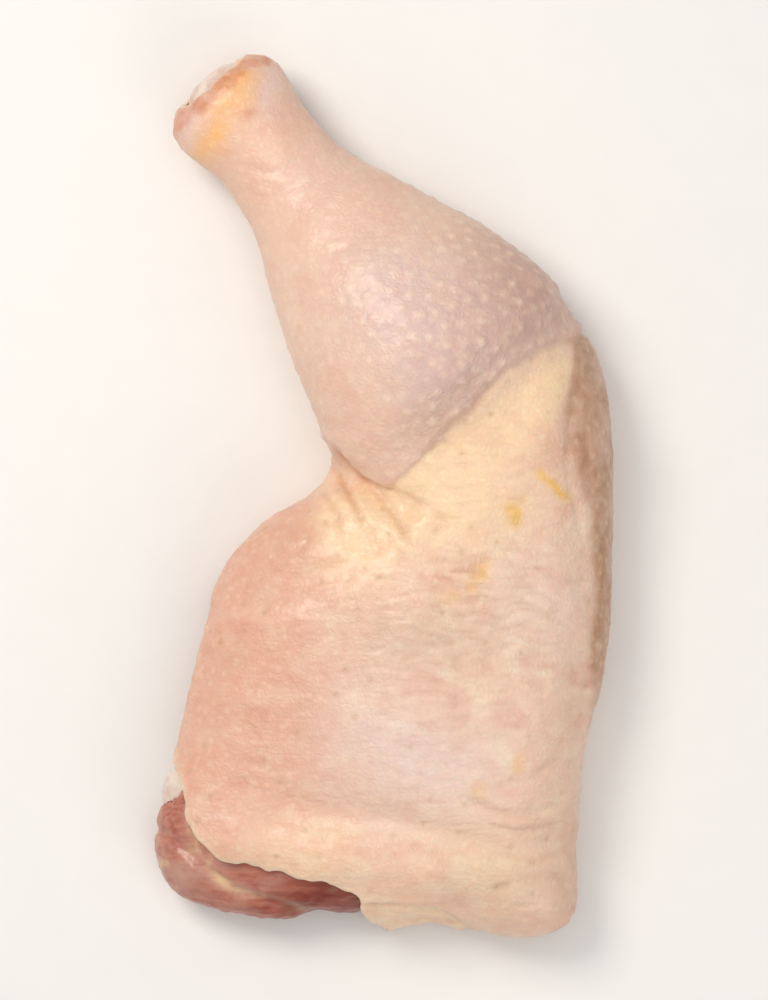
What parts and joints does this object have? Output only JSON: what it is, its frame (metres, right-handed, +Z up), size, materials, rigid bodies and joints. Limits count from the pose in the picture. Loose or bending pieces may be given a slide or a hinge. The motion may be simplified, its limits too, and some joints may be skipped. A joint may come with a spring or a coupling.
{
  "type": "raw chicken leg quarter",
  "caption": "Raw chicken leg quarter, drumstick and thigh in one piece, lying skin side up: pale skin over dark meat, with a bone end at the hock and at the hip.",
  "frame": {"origin": "on the table, under the middle of the leg quarter's box", "axes": "+Z up from the table; +Y along the leg quarter, from the thigh's lower edge to the hock; +X towards the knee's outer side"},
  "size_m": [0.1126, 0.2156, 0.0459],
  "materials": {
    "skin": "moist, soft gloss",
    "flesh": "wet, soft gloss",
    "bone": "wet cartilage"
  },
  "bodies": {
    "root": {"skin": "skin", "flesh": "flesh", "shin_bone": "bone", "thigh_bone": "bone"}
  },
  "joints": []
}
